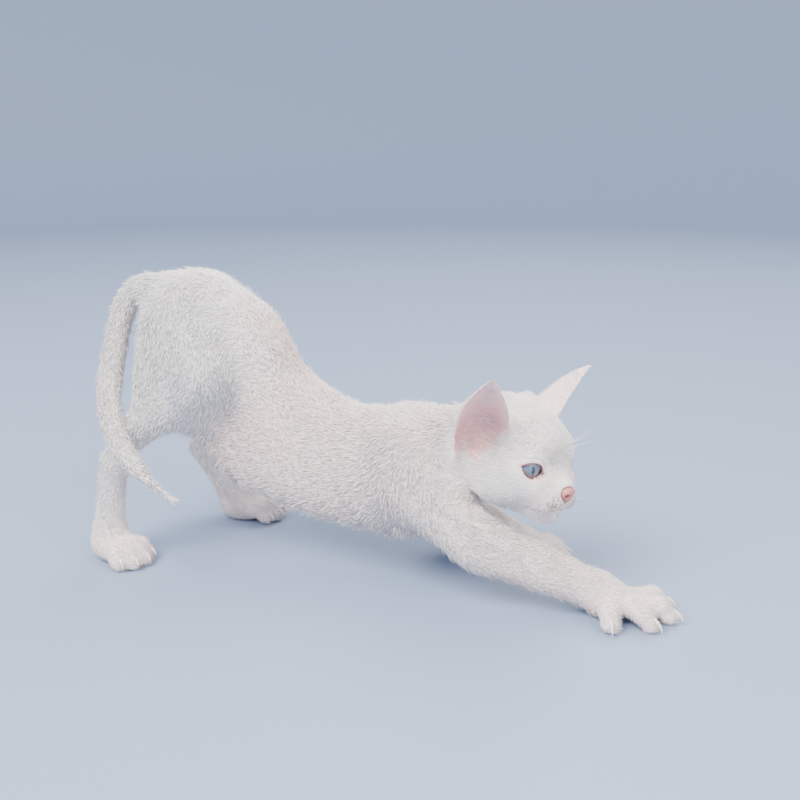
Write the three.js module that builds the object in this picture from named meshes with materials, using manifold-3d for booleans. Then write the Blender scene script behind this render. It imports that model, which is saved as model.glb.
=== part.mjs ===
// A Devon Rex kitten, about three months old, stretching with its chest low and its rump high.
// Life size in millimetres: +X is forward, +Y is the kitten's left, +Z is up, and the floor is z = 0.
// The flesh is one soft field of eggs and limbs, meshed piece by piece and parted by thin cuts.
import * as THREE from "three";
import { MarchingCubes } from "three/addons/objects/MarchingCubes.js";
import { LoftGeometry } from "three/addons/geometries/LoftGeometry.js";
import { mergeVertices } from "three/addons/utils/BufferGeometryUtils.js";
import Module from "manifold-3d";

const wasm = await Module();
wasm.setup();

// Driving dimensions
const SEAM = 0.3; // gap between touching pieces
const ORIGIN = [2.8, -3.6]; // shift that puts the middle of the kitten's box over the origin
const EYE_RADIUS = 8.4;
const LID_DEPTH = 1.5;
const EYE_OPENING = { long: 14.5, up: 4.6, down: 3.6, slant: 14 };
const GAZE_OUT = 24; // degrees that each eye looks out to its own side
const MOUTH_HEIGHT = -19.4; // in the head's frame
const EAR_THICKNESS = 1.7;
const EAR_CUP = 15; // depth of the cup at the ear's base
const CLAW_RADIUS = 1.5;
const CLAW_LENGTH = { forepaw_right: 10, forepaw_left: 7.5, hindpaw_right: 7.5, hindpaw_left: 7.5 };

// Fineness of the meshes
const SNAP = 0.3; // part of a grid step within which the surface is drawn to a corner of the grid
const PAW_SPACING = 3.3;
const LEG_SPACING = 6.8;
const TRUNK_SPACING = 7.6;
const HEAD_SPACING = 4.8;
const MUZZLE_SPACING = 3;
const JAW_SPACING = 3.8;
const NOSE_SPACING = 1.6;
const CLAW_STEPS = 4;
const CLAW_SIDES = 5;
const EAR_ROWS = 8;
const EAR_COLUMNS = 7;
const TAIL_ROWS = 24;
const TAIL_SIDES = 10;

const radians = THREE.MathUtils.degToRad;
const point = (x, y, z) => new THREE.Vector3(x, y, z);

// Colours: short white fur over pink skin
const finish = (color, roughness) => new THREE.MeshStandardMaterial({ color, roughness, metalness: 0 });
const fur = finish(0xf1e9e3, 0.9);
const earSkin = finish(0xe6b3ad, 0.75);
const noseLeather = finish(0xd98d86, 0.5);
const eyeBlue = finish(0x8fa9c8, 0.1);
const clawHorn = finish(0xeadcd0, 0.35);

// Soft forms: each is a function of x, y, z that is negative inside, with a ball round it that bounds it

function egg(centre, radii, { pitch = 0, yaw = 0, roll = 0 } = {}) {
  const turn = new THREE.Euler(radians(roll), radians(pitch), radians(yaw), "ZYX");
  const e = new THREE.Matrix4().makeRotationFromEuler(turn).transpose().elements;
  const [cx, cy, cz] = centre;
  const [rx, ry, rz] = radii;
  const distance = (x, y, z) => {
    const dx = x - cx;
    const dy = y - cy;
    const dz = z - cz;
    const px = (e[0] * dx + e[4] * dy + e[8] * dz) / rx;
    const py = (e[1] * dx + e[5] * dy + e[9] * dz) / ry;
    const pz = (e[2] * dx + e[6] * dy + e[10] * dz) / rz;
    const near = Math.hypot(px, py, pz);
    const slope = Math.hypot(px / rx, py / ry, pz / rz);
    return slope < 1e-9 ? -Math.min(rx, ry, rz) : (near * (near - 1)) / slope;
  };
  return { distance, centre, reach: Math.max(rx, ry, rz) };
}

// A round cone: two balls and the straight skin between them
function limb(a, b, ra, rb) {
  const [bx, by, bz] = [b[0] - a[0], b[1] - a[1], b[2] - a[2]];
  const l2 = bx * bx + by * by + bz * bz;
  const rr = ra - rb;
  const a2 = l2 - rr * rr;
  const distance = (x, y, z) => {
    const [px, py, pz] = [x - a[0], y - a[1], z - a[2]];
    const along = px * bx + py * by + pz * bz;
    const past = along - l2;
    const [qx, qy, qz] = [px * l2 - bx * along, py * l2 - by * along, pz * l2 - bz * along];
    const x2 = qx * qx + qy * qy + qz * qz;
    const k = Math.sign(rr) * rr * rr * x2;
    if (Math.sign(past) * a2 * past * past * l2 > k) return Math.sqrt(x2 + past * past * l2) / l2 - rb;
    if (Math.sign(along) * a2 * along * along * l2 < k) return Math.sqrt(x2 + along * along * l2) / l2 - ra;
    return (Math.sqrt((x2 * a2) / l2) + along * rr) / l2 - ra;
  };
  const centre = [(a[0] + b[0]) / 2, (a[1] + b[1]) / 2, (a[2] + b[2]) / 2];
  return { distance, centre, reach: Math.sqrt(l2) / 2 + Math.max(ra, rb) };
}

// Several forms run together. Each entry is [form, softness]; a softness under zero carves the form away.
function blended(entries) {
  return (x, y, z) => {
    let d = 1e3;
    for (const [form, softness] of entries) {
      const k = Math.abs(softness);
      const [cx, cy, cz] = form.centre;
      const far = Math.hypot(x - cx, y - cy, z - cz) - form.reach;
      if (softness > 0) {
        if (far > d + k) continue;
        const f = form.distance(x, y, z);
        const h = Math.max(k - Math.abs(d - f), 0) / k;
        d = Math.min(d, f) - (h * h * k) / 4;
      } else {
        if (-far < d - k) continue;
        const f = -form.distance(x, y, z);
        const h = Math.max(k - Math.abs(d - f), 0) / k;
        d = Math.max(d, f) + (h * h * k) / 4;
      }
    }
    return d;
  };
}

// The same form seen in a turned and moved frame
function placed(form, matrix) {
  const e = matrix.clone().invert().elements;
  const centre = point(...form.centre).applyMatrix4(matrix).toArray();
  const distance = (x, y, z) =>
    form.distance(
      e[0] * x + e[4] * y + e[8] * z + e[12],
      e[1] * x + e[5] * y + e[9] * z + e[13],
      e[2] * x + e[6] * y + e[10] * z + e[14],
    );
  return { distance, centre, reach: form.reach };
}

// Regions: oriented boxes that say which part of the flesh a piece takes

// A box whose own x axis runs from one point to another, with a width across (y) and a depth (z)
function region(from, to, wide, deep, aside = 0) {
  const x = to.clone().sub(from);
  const length = x.length();
  x.normalize();
  const y = point(0, 0, 1).cross(x).normalize();
  const z = x.clone().cross(y);
  const middle = from.clone().add(to).multiplyScalar(0.5).addScaledVector(y, aside);
  return { matrix: new THREE.Matrix4().makeBasis(x, y, z).setPosition(middle), size: point(length, wide, deep) };
}

// A box between two corners of a frame
function boxIn(frame, low, high) {
  const middle = point(...low).add(point(...high)).multiplyScalar(0.5);
  const matrix = frame.clone().multiply(new THREE.Matrix4().setPosition(middle));
  return { matrix, size: point(...high).sub(point(...low)) };
}

// Solids

function solidOf(geometry) {
  const plain = new THREE.BufferGeometry().setAttribute("position", geometry.getAttribute("position"));
  if (geometry.index) plain.setIndex(geometry.index);
  const merged = mergeVertices(plain, 1e-4);
  const corners = [];
  const index = merged.index.array;
  for (let i = 0; i < index.length; i += 3) {
    const [a, b, c] = [index[i], index[i + 1], index[i + 2]];
    if (a !== b && b !== c && c !== a) corners.push(a, b, c);
  }
  const build = () =>
    new wasm.Manifold(
      new wasm.Mesh({
        numProp: 3,
        vertProperties: Float32Array.from(merged.attributes.position.array),
        triVerts: Uint32Array.from(corners),
      }),
    );
  const made = build();
  if (made.volume() > 0) return made;
  corners.reverse();
  return build();
}

function geometryOf(solid) {
  const mesh = solid.getMesh();
  const geometry = new THREE.BufferGeometry();
  geometry.setAttribute("position", new THREE.BufferAttribute(Float32Array.from(mesh.vertProperties), 3));
  geometry.setIndex(new THREE.BufferAttribute(mesh.triVerts, 1));
  return geometry;
}

function boxSolid({ matrix, size }, grow = 0) {
  const box = new THREE.BoxGeometry(size.x + 2 * grow, size.y + 2 * grow, size.z + 2 * grow);
  return solidOf(box.applyMatrix4(matrix));
}

const ballSolid = (centre, radius, around, down) =>
  solidOf(new THREE.SphereGeometry(radius, around, down).translate(...centre));

const largest = (solid) => solid.decompose().reduce((a, b) => (b.volume() > a.volume() ? b : a));

// Meshes the part of a field that lies in a region, then evens the triangles out
function skinOf(field, { matrix, size }, spacing) {
  const margin = 4;
  const cells = Math.ceil(Math.max(size.x, size.y, size.z) / spacing) + 2 * margin;
  const reach = (cells * spacing) / 2;
  const over = 1.4 * spacing;
  const e = matrix.clone().invert().elements;
  const outside = (x, y, z) =>
    Math.max(
      Math.abs(e[0] * x + e[4] * y + e[8] * z + e[12]) - size.x / 2 - over,
      Math.abs(e[1] * x + e[5] * y + e[9] * z + e[13]) - size.y / 2 - over,
      Math.abs(e[2] * x + e[6] * y + e[10] * z + e[14]) - size.z / 2 - over,
    );
  const clipped = (x, y, z) => {
    const far = outside(x, y, z);
    return far > 2 * spacing ? far : Math.max(field(x, y, z), far);
  };
  const cubes = new MarchingCubes(cells, fur, false, false, 60000);
  cubes.isolation = 0;
  const p = point(0, 0, 0);
  const along = (i) => (i - cells / 2) * spacing;
  for (let k = 0, q = 0; k < cells; k++)
    for (let j = 0; j < cells; j++)
      for (let i = 0; i < cells; i++, q++) {
        p.set(along(i), along(j), along(k)).applyMatrix4(matrix);
        const d = clipped(p.x, p.y, p.z);
        cubes.field[q] = Math.abs(d) < SNAP * spacing ? 0 : -d;
      }
  cubes.update();
  const raw = new THREE.BufferGeometry();
  raw.setAttribute("position", new THREE.BufferAttribute(cubes.positionArray.slice(0, cubes.count * 3), 3));
  const surface = mergeVertices(raw, 1e-5).scale(reach, reach, reach).applyMatrix4(matrix);
  evenOut(surface, clipped);
  return solidOf(surface);
}

// Moves each vertex towards the middle of its neighbours and back onto the surface of the field
function evenOut(surface, field, rounds = 5) {
  const at = surface.attributes.position;
  const index = surface.index.array;
  const near = Array.from({ length: at.count }, () => new Set());
  for (let i = 0; i < index.length; i += 3)
    for (const [a, b] of [[0, 1], [1, 2], [2, 0]]) {
      near[index[i + a]].add(index[i + b]);
      near[index[i + b]].add(index[i + a]);
    }
  const step = 0.05;
  const p = point(0, 0, 0);
  for (let round = 0; round < rounds; round++) {
    const from = Float32Array.from(at.array);
    for (let v = 0; v < at.count; v++) {
      p.set(0, 0, 0);
      for (const n of near[v]) p.add(point(from[3 * n], from[3 * n + 1], from[3 * n + 2]));
      p.multiplyScalar(1 / near[v].size).lerp(point(from[3 * v], from[3 * v + 1], from[3 * v + 2]), 0.4);
      for (let newton = 0; newton < 2; newton++) {
        const d = field(p.x, p.y, p.z);
        const slope = point(
          field(p.x + step, p.y, p.z) - d,
          field(p.x, p.y + step, p.z) - d,
          field(p.x, p.y, p.z + step) - d,
        ).multiplyScalar(1 / step);
        const steep = Math.max(slope.lengthSq(), 0.1);
        p.addScaledVector(slope, THREE.MathUtils.clamp(-d / steep, -1.5, 1.5));
      }
      at.setXYZ(v, p.x, p.y, p.z);
    }
  }
}

// Trunk: the ribs hang low between the forelegs, and the back climbs to the raised rump

const trunkForms = [
  [egg([6, 0, 61], [46, 31, 40.5], { pitch: 6 }), 10], // ribs
  [egg([34, 0, 66], [28, 25, 30], { pitch: 20 }), 16], // front of the chest
  [egg([-38, 0, 66], [42, 32, 41], { pitch: 28 }), 14], // last ribs and stomach
  [egg([-72, 0, 86], [42, 31, 42], { pitch: 44 }), 14], // flanks
  [egg([-86, 0, 76], [40, 27, 33], { pitch: 40 }), 14], // hanging belly
  [egg([-94, 0, 130], [40, 26, 37], { pitch: 50 }), 14], // loin
  [egg([-120, 0, 151], [28, 27, 33], { pitch: 38 }), 12], // pelvis
];
const neckForm = [limb([34, -1, 78], [66, -5, 84], 27, 22), 14];
const tailRoot = [limb([-136, 0, 166], [-158, -1, 167], 13.5, 9.6), 10];

// Legs, each by the middle of its joints

const sides = [
  { name: "right", s: -1 },
  { name: "left", s: 1 },
];
const hip = { right: [-124, -18, 152], left: [-124, 18, 152] };
const knee = { right: [-100, -37, 120], left: [-92, 38, 108] };
const hock = { right: [-163, -40, 63], left: [-148, 42, 52] };
const ankle = { right: [-168, -43, 14], left: [-122, 44, 14] };
const shoulder = { right: [38, -24, 56], left: [34, 24, 58] };
const elbow = { right: [70, -31, 35], left: [42, 32, 25] };
const wrist = { right: [138, -24, 13], left: [80, 33, 12] };

function hindLeg({ name, s }) {
  const [h, k, c, a] = [hip[name], knee[name], hock[name], ankle[name]];
  const calf = [(k[0] + c[0]) / 2 - 2, k[1] + s * 2, (k[2] + c[2]) / 2 + 2];
  return [
    [limb(h, k, 22, 16), 14],
    [egg([h[0] - 12, h[1] + s * 10, h[2] - 34], [15, 12, 34], { pitch: -4 }), 12], // hamstrings
    [limb([h[0] - 8, k[1] - s * 2, h[2] - 26], [c[0] + 18, c[1] - s * 5, c[2] + 25], 9, 6.6), 9], // back of the thigh
    [egg([h[0] + 12, h[1] + s * 12, h[2] - 52], [18, 8, 16]), 14], // fold of the flank
    [limb(k, calf, 12.5, 10.5), 10],
    [limb(calf, c, 10.5, 8.5), 6],
    [limb([c[0] - 2, c[1], c[2] + 2], [c[0], c[1], c[2] - 4], 7, 8.5), 5], // point of the hock
    [limb(c, a, 10, 10.6), 5],
  ];
}

function foreleg({ name, s }) {
  const [sh, el, wr] = [shoulder[name], elbow[name], wrist[name]];
  const middle = [(el[0] + wr[0]) / 2, (el[1] + wr[1]) / 2, (el[2] + wr[2]) / 2];
  return [
    [egg([sh[0] - 16, sh[1] + s * 2, sh[2] + 20], [22, 9, 26], { pitch: -30 }), 14], // shoulder blade
    [limb(sh, el, 18, 17), 12],
    [limb(el, middle, 16, 13.8), 8],
    [limb(middle, wr, 13.8, 11.2), 8],
  ];
}

// Paws, in a frame of their own: the wrist is over the origin, x points along the toes, and z is up

const PAW_BLEND = 6;
const closedToes = [
  { turn: -17, length: 23, y: -5 },
  { turn: -5, length: 27, y: -2 },
  { turn: 5, length: 27, y: 2 },
  { turn: 17, length: 23, y: 5 },
];
const spreadToes = [
  { turn: -70, length: 23, y: -4 },
  { turn: -24, length: 32, y: -2 },
  { turn: -2, length: 38, y: 1 },
  { turn: 18, length: 34, y: 4 },
];
const TOE_START = 4;

function toePoint({ turn, y }, along, z) {
  return [TOE_START + along * Math.cos(radians(turn)), y + along * Math.sin(radians(turn)), z];
}

// One toe: a knuckle that rises and a round tip that comes down on its pad
function toeField(toe) {
  return blended([
    [limb(toePoint(toe, 4, 8.5), toePoint(toe, toe.length - 8, 9.5), 4.8, 5.2), 3],
    [limb(toePoint(toe, toe.length - 8, 9.3), toePoint(toe, toe.length - 3, 4.4), 5.2, 5.1), 3],
  ]);
}

function softMin(a, b, k) {
  const h = Math.max(k - Math.abs(a - b), 0) / k;
  return Math.min(a, b) - (h * h * k) / 4;
}

function pawForm({ toes, frame }) {
  const toeFields = toes.map(toeField);
  const palm = blended([
    [egg([8, 0, 8.6], [13, 12.5, 9.6]), 4],
    [egg([0, 0, 9], [11, 10.5, 10.5]), 5],
  ]);
  const distance = (x, y, z) => {
    const toeNearest = toeFields.reduce((d, field) => softMin(d, field(x, y, z), 1.2), 1e3);
    return softMin(toeNearest, palm(x, y, z), 4);
  };
  return placed({ distance, centre: [14, 0, 8], reach: 40 }, frame);
}

const pawFrame = (joint, turn) =>
  new THREE.Matrix4().makeRotationZ(radians(turn)).setPosition(joint[0], joint[1], 0);
const paws = {
  hindpaw_right: { toes: closedToes, frame: pawFrame(ankle.right, -20) },
  hindpaw_left: { toes: closedToes, frame: pawFrame(ankle.left, 10) },
  forepaw_right: { toes: spreadToes, frame: pawFrame(wrist.right, -3) },
  forepaw_left: { toes: closedToes, frame: pawFrame(wrist.left, 8) },
};

// Head, in a frame of its own: x points out of the face, y to the left, z through the crown

const headFrame = new THREE.Matrix4()
  .makeRotationFromEuler(new THREE.Euler(radians(-6.8), radians(13.9), radians(-26.3), "ZYX"))
  .setPosition(85, -7.5, 84.6);
const eyeCentre = (s) => [18.6, s * 15.6, 3];

const skullForms = [
  [egg([-9, 0, 5], [33, 28, 25]), 8],
  [egg([6, 0, 12], [20, 22, 17]), 8], // forehead
  ...sides.flatMap(({ s }) => [
    [egg([4, s * 17, -9], [21, 15, 17]), 8], // cheek
    [egg([22, s * 12, -6], [12, 10, 9]), 8], // cheek under the eye
    [egg([17, s * 11, 12], [10, 10, 8]), 6], // brow
    [egg([-16, s * 24, 10], [12, 9, 19]), 8], // base of the ear
  ]),
  [limb([12, 0, 6], [35, 0, -5], 11, 7), 6], // bridge of the nose
  [egg([23, 0, -12], [17, 17, 13]), 8], // muzzle
  ...sides.map(({ s }) => [egg([32.5, s * 7.2, -13], [9.6, 9, 8.2]), 3]), // whisker pads
  [egg([29, 0, -23.5], [9, 9, 7.5]), 4], // chin
  ...sides.map(({ s }) => [limb([-4, s * 13, -21], [24, s * 4, -23], 10, 7), 7]), // jaw
  ...sides.map(({ s }) => [egg(eyeCentre(s), [9.6, 10, 9.4]), 8]), // flesh round the eye
  ...sides.map(({ s }) => [egg([-3, s * 31, 12], [10, 10, 15]), -4]), // hollow inside the ear
];
const skullField = blended(skullForms);
const skull = placed({ distance: skullField, centre: [0, 0, 0], reach: 60 }, headFrame);
const noseField = blended([
  [egg([40, 0, -4.8], [3.2, 5.2, 2.6]), 3], // top of the leather
  ...sides.map(({ s }) => [egg([40.2, s * 2.9, -6.6], [3, 2.6, 2.4]), 2]), // wings
  [egg([40.2, 0, -9.2], [2.4, 1.8, 3]), 3], // point under the nose
]);
const noseForm = placed({ distance: noseField, centre: [40, 0, -6.5], reach: 9 }, headFrame);
const nosePad = (grow) => (x, y, z) => noseForm.distance(x, y, z) - grow;

// Whole flesh, in the groups that touch

const trunk = blended([
  ...trunkForms,
  neckForm,
  tailRoot,
  ...sides.flatMap(hindLeg),
  ...sides.flatMap(foreleg),
]);
const neckAndHead = blended([...trunkForms, neckForm, [skull, 8]]);
const legWithPaw = (forms, paw) => blended([...trunkForms, ...forms, [pawForm(paw), PAW_BLEND]]);

// Pieces. Each takes what is left of the flesh in its region, so the first ones have the first choice.

const kitten = new THREE.Group();
const taken = [];
const ground = boxSolid({ matrix: new THREE.Matrix4().setPosition(0, 0, -50), size: point(900, 600, 100) });

// A group of pieces, with its own place in the kitten
function group(x, y, z) {
  const made = new THREE.Group();
  made.position.set(x, y, z);
  kitten.add(made);
  return made;
}

function add(name, parent, solid, material = fur) {
  const geometry = geometryOf(solid);
  geometry.computeBoundingBox();
  const middle = geometry.boundingBox.getCenter(point(0, 0, 0));
  geometry.translate(-middle.x, -middle.y, -middle.z);
  geometry.computeVertexNormals();
  const mesh = new THREE.Mesh(geometry, material);
  mesh.name = name;
  mesh.position.copy(middle).sub(parent.position);
  parent.add(mesh);
  return mesh;
}

function fleshIn(field, zone, spacing) {
  const solid = skinOf(field, zone, spacing).intersect(boxSolid(zone));
  const free = taken.reduce((left, other) => left.subtract(other), solid.subtract(ground));
  taken.push(boxSolid(zone, SEAM));
  return largest(free);
}

// What is left of a piece a seam away from the flesh that carries it
function clearOf(piece, carrier) {
  let clear = piece.subtract(carrier);
  for (const axis of ["x", "y", "z"])
    for (const way of [-SEAM, SEAM]) {
      const aside = point(0, 0, 0);
      aside[axis] = way;
      clear = clear.subtract(solidOf(geometryOf(carrier).translate(aside.x, aside.y, aside.z)));
    }
  return largest(clear);
}

const at = (a) => point(...a);
const between = (a, b, t) => at(a).lerp(at(b), t);

// A horn cone in the frame of its paw, that curves forward and down from the end of a toe
function clawSolid(paw, toe, length) {
  const start = toePoint(toe, toe.length - 1.5, 7.8);
  const ahead = point(Math.cos(radians(toe.turn)), Math.sin(radians(toe.turn)), 0);
  const across = point(-ahead.y, ahead.x, 0);
  const curve = radians(84);
  const bow = length / curve;
  const sections = [];
  for (let i = 0; i <= CLAW_STEPS; i++) {
    const t = i / CLAW_STEPS;
    const turned = t * curve;
    const radius = CLAW_RADIUS * (1 - t) ** 0.8 + 0.1;
    const centre = at(start).addScaledVector(ahead, bow * Math.sin(turned));
    centre.z -= bow * (1 - Math.cos(turned));
    const rise = ahead.clone().multiplyScalar(Math.sin(turned)).add(point(0, 0, Math.cos(turned)));
    const ring = [];
    for (let j = 0; j < CLAW_SIDES; j++) {
      const a = (j / CLAW_SIDES) * 2 * Math.PI;
      const corner = centre.clone().addScaledVector(across, 0.75 * radius * Math.cos(a));
      ring.push(corner.addScaledVector(rise, radius * Math.sin(a)).applyMatrix4(paw.frame));
    }
    sections.push(ring);
  }
  return solidOf(new LoftGeometry(sections, { capStart: true, capEnd: true }));
}

function addClaws(pawName, parent, flesh) {
  const paw = paws[pawName];
  paw.toes.forEach((toe, i) => {
    const whole = clawSolid(paw, toe, CLAW_LENGTH[pawName]).subtract(ground);
    add(`${pawName}_claw_${i + 1}`, parent, clearOf(whole, flesh), clawHorn);
  });
}

for (const side of sides) {
  const { name, s } = side;
  const [sh, el, wr] = [shoulder[name], elbow[name], wrist[name]];
  const pawName = `forepaw_${name}`;
  const forelegGroup = group(...el);
  const field = legWithPaw(foreleg(side), paws[pawName]);
  const flesh = fleshIn(field, boxIn(paws[pawName].frame, [-1, -34, 0], [48, 34, 26]), PAW_SPACING);
  add(pawName, forelegGroup, flesh);
  addClaws(pawName, forelegGroup, flesh);
  add(`forearm_${name}`, forelegGroup, fleshIn(field, region(between(el, wr, 0.12), at(wr), 50, 50), LEG_SPACING));
  const zone = region(between(sh, el, -0.35), between(el, wr, 0.16), 50, 42, s * 5);
  add(`upper_arm_${name}`, forelegGroup, fleshIn(trunk, zone, LEG_SPACING));
}

// The haunch is taken on its own side of the body, some way behind the line from knee to hip
const HAUNCH = { wide: 52, deep: 100, out: 34, back: 8 };
const haunchPoint = (k, h, t, s) => between(k, h, t).setY(s * HAUNCH.out).add(point(-HAUNCH.back, 0, -HAUNCH.back));

for (const side of sides) {
  const { name, s } = side;
  const [h, k, c, a] = [hip[name], knee[name], hock[name], ankle[name]];
  const pawName = `hindpaw_${name}`;
  const hindlegGroup = group(...k);
  const field = legWithPaw(hindLeg(side), paws[pawName]);
  const flesh = fleshIn(field, boxIn(paws[pawName].frame, [-14, -24, 0], [40, 24, 22]), PAW_SPACING);
  add(pawName, hindlegGroup, flesh);
  addClaws(pawName, hindlegGroup, flesh);
  const shankEnd = at(c).add(point(-14, 0, -6));
  add(`hock_${name}`, hindlegGroup, fleshIn(field, region(between(a, c, -0.2), between(c, a, -0.12), 40, 44), LEG_SPACING));
  add(`shank_${name}`, hindlegGroup, fleshIn(field, region(shankEnd, between(c, k, 0.86), 40, 50), LEG_SPACING));
  const haunch = region(haunchPoint(k, h, -0.5, s), haunchPoint(k, h, 1.35, s), HAUNCH.wide, HAUNCH.deep);
  add(`thigh_${name}`, hindlegGroup, fleshIn(trunk, haunch, LEG_SPACING));
}

// Head: the lower jaw and muzzle in front of the skull, then the skull, each with what opens in it

const headGroup = group(...at([0, 0, 0]).applyMatrix4(headFrame));
const inHead = (geometry) => solidOf(geometry.applyMatrix4(headFrame));

// The eye opening: an almond cut out along the gaze, its outer corner the higher one
function eyeOpening(s) {
  const half = EYE_OPENING.long / 2;
  const shape = new THREE.Shape();
  shape.moveTo(-half, 0);
  shape.quadraticCurveTo(-half * 0.2, EYE_OPENING.up * 2, half, 0);
  shape.quadraticCurveTo(-half * 0.1, -EYE_OPENING.down * 2, -half, 0);
  const almond = new THREE.ExtrudeGeometry(shape, { depth: 14, bevelEnabled: false, curveSegments: 7 });
  almond.rotateZ(radians(EYE_OPENING.slant));
  const turn = radians(GAZE_OUT);
  const outward = point(-Math.sin(turn), s * Math.cos(turn), 0);
  const gaze = point(Math.cos(turn), s * Math.sin(turn), 0);
  const frame = new THREE.Matrix4().makeBasis(outward, point(0, 0, 1), gaze).setPosition(...eyeCentre(s));
  return inHead(almond.applyMatrix4(frame));
}

const eyeBall = (s, radius) => inHead(new THREE.SphereGeometry(radius, 16, 10).translate(...eyeCentre(s)));

// Where a ray from a point inside the head leaves the flesh, both in the head's frame
function onSkin(start, direction) {
  let [low, high] = [0, 60];
  const p = point(0, 0, 0);
  while (high - low > 0.01) {
    const middle = (low + high) / 2;
    p.copy(direction).multiplyScalar(middle).add(start);
    if (skullField(p.x, p.y, p.z) < 0) low = middle;
    else high = middle;
  }
  return p.clone();
}

// A round groove along points of the skin
function groove(points, radius) {
  const path = new THREE.CatmullRomCurve3(points);
  const ring = new THREE.Shape().absarc(0, 0, radius, 0, 2 * Math.PI);
  return inHead(new THREE.ExtrudeGeometry(ring, { extrudePath: path, steps: 2 * points.length, curveSegments: 3 }));
}

const mouthLine = [];
for (let angle = -64; angle <= 64; angle += 16)
  mouthLine.push(onSkin(point(20, 0, MOUTH_HEIGHT), point(Math.cos(radians(angle)), Math.sin(radians(angle)), 0)));
const philtrum = [-11, -13, -15, -17, -19].map((z) => onSkin(point(20, 0, z), point(1, 0, 0)));
const mouth = groove(mouthLine, 0.8);

const jawZone = boxIn(headFrame, [19, -20, -42], [50, 20, MOUTH_HEIGHT]);
add("lower_jaw", headGroup, largest(fleshIn(neckAndHead, jawZone, JAW_SPACING).subtract(mouth)));
const noseZone = boxIn(headFrame, [37.6, -9, -14], [50, 9, 1]);
const leather = largest(skinOf(nosePad(0), noseZone, NOSE_SPACING));
const noseSeat = skinOf(nosePad(SEAM), noseZone, NOSE_SPACING);
const nostrils = sides.map(({ s }) =>
  inHead(new THREE.SphereGeometry(1, 10, 8).scale(2.2, 1.5, 1.1).rotateX(radians(-30 * s)).translate(42.8, s * 3.1, -6.6)),
);
add("nose", headGroup, largest(nostrils.reduce((nose, hole) => nose.subtract(hole), leather)), noseLeather);
const muzzle = fleshIn(neckAndHead, boxIn(headFrame, [30, -20, MOUTH_HEIGHT], [60, 20, 1]), MUZZLE_SPACING);
add("muzzle", headGroup, largest(muzzle.subtract(mouth).subtract(groove(philtrum, 0.55)).subtract(noseSeat)));

let cranium = fleshIn(neckAndHead, boxIn(headFrame, [-26, -46, -36], [44, 46, 50]), HEAD_SPACING);
for (const { s } of sides) {
  cranium = cranium.add(eyeBall(s, EYE_RADIUS + LID_DEPTH));
  cranium = cranium.subtract(eyeBall(s, EYE_RADIUS + SEAM)).subtract(eyeOpening(s));
}
cranium = largest(cranium.subtract(mouth));
add("head", headGroup, cranium);
for (const { name, s } of sides) add(`eye_${name}`, headGroup, eyeBall(s, EYE_RADIUS), eyeBlue);

// Ears: thin cups, wide at the base, open forwards and out
const earEdges = {
  right: { front: [[6, -24, 22], [13, -39, 38], [5, -49.5, 51.5]], rear: [[-15, -33, -8], [-16, -56, 24], [5, -49.5, 51.5]] },
  left: { front: [[6, 24, 22], [5, 33, 40], [4, 47, 54]], rear: [[-15, 33, -8], [-13, 42, 34], [4, 47, 54]] },
};

function earSolid({ name, s }) {
  const curve = (corners) => new THREE.QuadraticBezierCurve3(...corners.map(at));
  const front = curve(earEdges[name].front);
  const rear = curve(earEdges[name].rear);
  const back = point(-0.76, s * -0.3, 0.57).normalize();
  const sheet = (u, t) =>
    front
      .getPoint(t)
      .lerp(rear.getPoint(t), u)
      .addScaledVector(back, EAR_CUP * (1 - t) ** 0.9 * Math.sin(Math.PI * u) ** 0.8);
  const sections = [];
  for (let i = 0; i <= EAR_ROWS; i++) {
    const t = -0.16 + (1.12 * i) / EAR_ROWS;
    const half = (EAR_THICKNESS / 2) * (1 - 0.7 * Math.max(t, 0));
    const outer = [];
    const inner = [];
    for (let j = 0; j <= EAR_COLUMNS; j++) {
      const u = j / EAR_COLUMNS;
      const here = sheet(u, t);
      const across = sheet(Math.min(u + 0.03, 1), t).sub(sheet(Math.max(u - 0.03, 0), t));
      const along = sheet(u, t + 0.01).sub(sheet(u, t - 0.01));
      const out = across.cross(along).normalize().multiplyScalar(half);
      outer.push(here.clone().add(out));
      inner.unshift(here.sub(out));
    }
    sections.push([...outer, ...inner]);
  }
  return inHead(new LoftGeometry(sections, { capStart: true, capEnd: true }));
}

for (const side of sides) add(`ear_${side.name}`, headGroup, clearOf(earSolid(side), cranium), earSkin);

// Neck and trunk: what the legs and the head leave

const spineTurn = new THREE.Matrix4().makeRotationY(radians(48));
const bodyGroup = group(0, 0, 90);
const pelvisZone = boxIn(spineTurn.clone().setPosition(-104, 0, 132), [-90, -60, -90], [0, 60, 60]);
const pelvis = fleshIn(trunk, pelvisZone, TRUNK_SPACING);
add("pelvis", bodyGroup, pelvis);
add("neck", bodyGroup, fleshIn(neckAndHead, region(point(42, -1, 78), point(92, -8, 84), 90, 96), LEG_SPACING));
const bellyZone = boxIn(spineTurn.clone().setPosition(-104, 0, 132), [-4, -60, -125], [72, 60, 60]);
add("belly", bodyGroup, fleshIn(trunk, bellyZone, TRUNK_SPACING));
add("chest", bodyGroup, fleshIn(trunk, boxIn(new THREE.Matrix4(), [-110, -50, 0], [75, 50, 125]), TRUNK_SPACING));

// Tail: one curved cone in three lengths, that hangs behind the rump and swings past the right hock

const tailLine = new THREE.CatmullRomCurve3(
  [
    [-150, 0, 170], [-163, -4, 166], [-170, -9, 151], [-170, -17, 134], [-167, -30, 115], [-159, -45, 97],
    [-147, -57, 84], [-134, -64, 73], [-122, -67, 65], [-112, -68, 59], [-104, -68, 54],
  ].map(at),
);

function tailRadius(t) {
  const shaft = THREE.MathUtils.lerp(9.4, 5.4, t ** 1.2);
  return shaft * (1 - 0.93 * THREE.MathUtils.smoothstep(t, 0.78, 1.02));
}

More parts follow.
